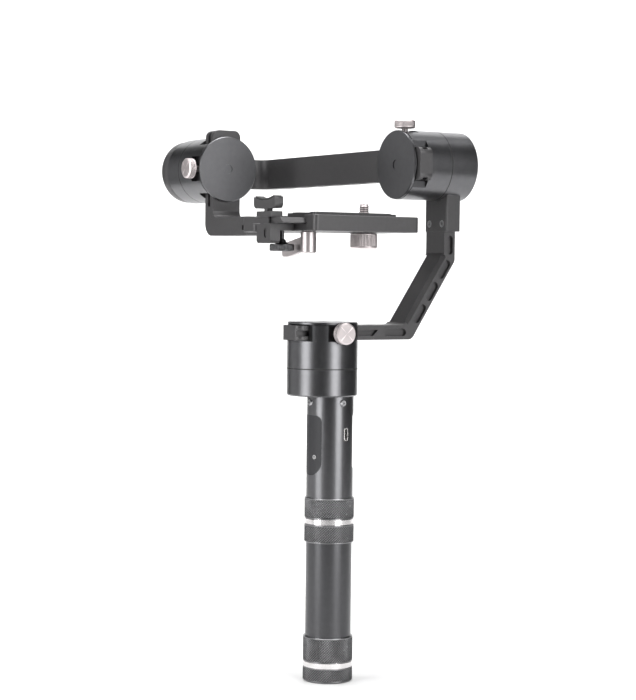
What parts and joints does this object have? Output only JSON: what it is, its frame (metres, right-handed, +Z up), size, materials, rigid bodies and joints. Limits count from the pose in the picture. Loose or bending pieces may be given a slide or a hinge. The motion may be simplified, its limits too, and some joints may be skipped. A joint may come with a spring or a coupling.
{
  "type": "gimbal stabilizer",
  "caption": "Handheld three-axis camera gimbal: knurled battery grip, pan, roll and tilt motors on sliding arms, camera tray with quick-release plate and lens support.",
  "frame": {"origin": "centre of the handle's bottom face, where its tripod thread opens", "axes": "+Z up along the handle, -Y towards the lens side of the camera tray, +X to the side away from the tilt motor"},
  "size_m": [0.2112, 0.147, 0.3564],
  "materials": {
    "gunmetal": "satin anodised",
    "knurled": "diamond knurled, anodised",
    "arm_black": "fine blasted, black anodised",
    "bright_band": "turned, polished",
    "knob_silver": "knurled, clear anodised",
    "black_plastic": "fine texture",
    "window": "gloss",
    "rubber": "matte",
    "steel": "satin",
    "core": "laminated",
    "magnet": "plated",
    "cell": "wrapped",
    "board": "solder mask",
    "lamp": "clear"
  },
  "bodies": {
    "handle": {"battery_tube": "gunmetal", "battery_cells": "cell", "mid_ring_lower": "knurled", "mid_band": "bright_band", "mid_ring_upper": "knurled", "control_tube": "gunmetal", "front_window": "window", "thumb_panel": "black_plastic", "status_lights": "lamp", "usb_port": "steel", "main_board": "board", "contact_plate": "board", "tube_screws": "steel", "pan_housing": "gunmetal", "pan_stator": "core", "pan_bearings": "steel"},
    "end_cap": {"end_cap": "knurled", "end_cap_band": "bright_band", "tripod_bush": "steel"},
    "joystick_gimbal": {"joystick_gimbal": "black_plastic"},
    "joystick_cap": {"joystick_cap": "rubber"},
    "power_button": {"power_button": "black_plastic"},
    "mode_button": {"mode_button": "black_plastic"},
    "pan_rotor": {"pan_bell": "gunmetal", "pan_magnets": "magnet", "pan_clamp": "gunmetal", "pan_clamp_plate": "gunmetal"},
    "pan_knob": {"pan_knob": "knob_silver"},
    "pan_arm": {"pan_arm": "arm_black", "roll_bracket": "arm_black", "bracket_screws": "steel", "roll_housing": "gunmetal", "roll_stator": "core", "roll_bearings": "steel"},
    "roll_rotor": {"roll_bell": "gunmetal", "roll_magnets": "magnet", "roll_clamp": "gunmetal", "roll_clamp_plate": "gunmetal"},
    "roll_knob": {"roll_knob": "knob_silver"},
    "roll_arm": {"roll_arm": "arm_black", "tilt_housing": "gunmetal", "tilt_stator": "core", "tilt_bearings": "steel"},
    "tilt_rotor": {"tilt_bell": "gunmetal", "tilt_magnets": "magnet", "tilt_clamp": "gunmetal", "tilt_clamp_plate": "gunmetal"},
    "tilt_knob": {"tilt_knob": "knob_silver"},
    "tilt_arm": {"tilt_arm": "arm_black", "camera_tray": "arm_black", "tray_screws": "steel"},
    "qr_plate": {"qr_plate": "arm_black", "qr_pads": "rubber"},
    "camera_screw": {"camera_screw": "knob_silver"},
    "qr_lever": {"qr_lever": "knob_silver"},
    "lens_support": {"lens_support": "arm_black"},
    "lens_lock_knob": {"lens_lock_knob": "knurled"},
    "lens_post": {"lens_post": "arm_black", "lens_pad": "rubber"}
  },
  "joints": [
    {"name": "end_cap_unscrew", "type": "slide", "parent": "handle", "child": "end_cap", "axis": [0, 0, -1], "range_m": [0, 0.018]},
    {"name": "joystick_up_down", "type": "hinge", "parent": "handle", "child": "joystick_gimbal", "pos_m": [0, 0.0042, 0.1575], "axis": [1, 0, 0], "range_deg": [-9, 9], "stiffness_Nm_per_rad": 0.01},
    {"name": "joystick_left_right", "type": "hinge", "parent": "joystick_gimbal", "child": "joystick_cap", "pos_m": [0, 0.0042, 0.1575], "axis": [0, 0, 1], "range_deg": [-9, 9], "stiffness_Nm_per_rad": 0.01},
    {"name": "power_press", "type": "slide", "parent": "handle", "child": "power_button", "axis": [0, -1, 0], "range_m": [0, 0.0008], "stiffness_N_per_m": 400},
    {"name": "mode_press", "type": "slide", "parent": "handle", "child": "mode_button", "axis": [0, -1, 0], "range_m": [0, 0.0008], "stiffness_N_per_m": 400},
    {"name": "pan", "type": "hinge", "parent": "handle", "child": "pan_rotor", "pos_m": [0, -0.00637, 0.2], "axis": [0, 0, 1], "continuous": true},
    {"name": "pan_knob_turn", "type": "hinge", "parent": "pan_rotor", "child": "pan_knob", "pos_m": [0.025, -0.00637, 0.22025], "axis": [1, 0, 0], "continuous": true},
    {"name": "pan_arm_slide", "type": "slide", "parent": "pan_rotor", "child": "pan_arm", "axis": [0, 1, 0], "range_m": [-0.015, 0.01]},
    {"name": "roll", "type": "hinge", "parent": "pan_arm", "child": "roll_rotor", "pos_m": [0, 0.068, 0.3275], "axis": [0, 1, 0], "range_deg": [-45, 45]},
    {"name": "roll_knob_turn", "type": "hinge", "parent": "roll_rotor", "child": "roll_knob", "pos_m": [0, 0.05405, 0.3525], "axis": [0, 0, 1], "continuous": true},
    {"name": "roll_arm_slide", "type": "slide", "parent": "roll_rotor", "child": "roll_arm", "axis": [1, 0, 0], "range_m": [-0.015, 0.015]},
    {"name": "tilt", "type": "hinge", "parent": "roll_arm", "child": "tilt_rotor", "pos_m": [-0.147, -0.00637, 0.3275], "axis": [-1, 0, 0], "range_deg": [-11, 135]},
    {"name": "tilt_knob_turn", "type": "hinge", "parent": "tilt_rotor", "child": "tilt_knob", "pos_m": [-0.1323, -0.03137, 0.3275], "axis": [0, -1, 0], "continuous": true},
    {"name": "tilt_arm_height", "type": "slide", "parent": "tilt_rotor", "child": "tilt_arm", "axis": [0, 0, 1], "range_m": [-0.015, 0.006]},
    {"name": "quick_release_slide", "type": "slide", "parent": "tilt_arm", "child": "qr_plate", "axis": [0, 1, 0], "range_m": [-0.02, 0]},
    {"name": "camera_screw_turn", "type": "hinge", "parent": "qr_plate", "child": "camera_screw", "pos_m": [0, 0.0236, 0.278], "axis": [0, 0, 1], "continuous": true},
    {"name": "quick_release_lever", "type": "hinge", "parent": "tilt_arm", "child": "qr_lever", "pos_m": [0.014, -0.026, 0.276], "axis": [0, 0, -1], "range_deg": [0, 90]},
    {"name": "lens_support_slide", "type": "slide", "parent": "qr_plate", "child": "lens_support", "axis": [0, 1, 0], "range_m": [-0.006, 0]},
    {"name": "lens_lock_turn", "type": "hinge", "parent": "lens_support", "child": "lens_lock_knob", "pos_m": [0, -0.0367, 0.273], "axis": [0, 0, 1], "continuous": true},
    {"name": "lens_post_height", "type": "slide", "parent": "lens_support", "child": "lens_post", "axis": [0, 0, 1], "range_m": [0, 0.008]}
  ]
}
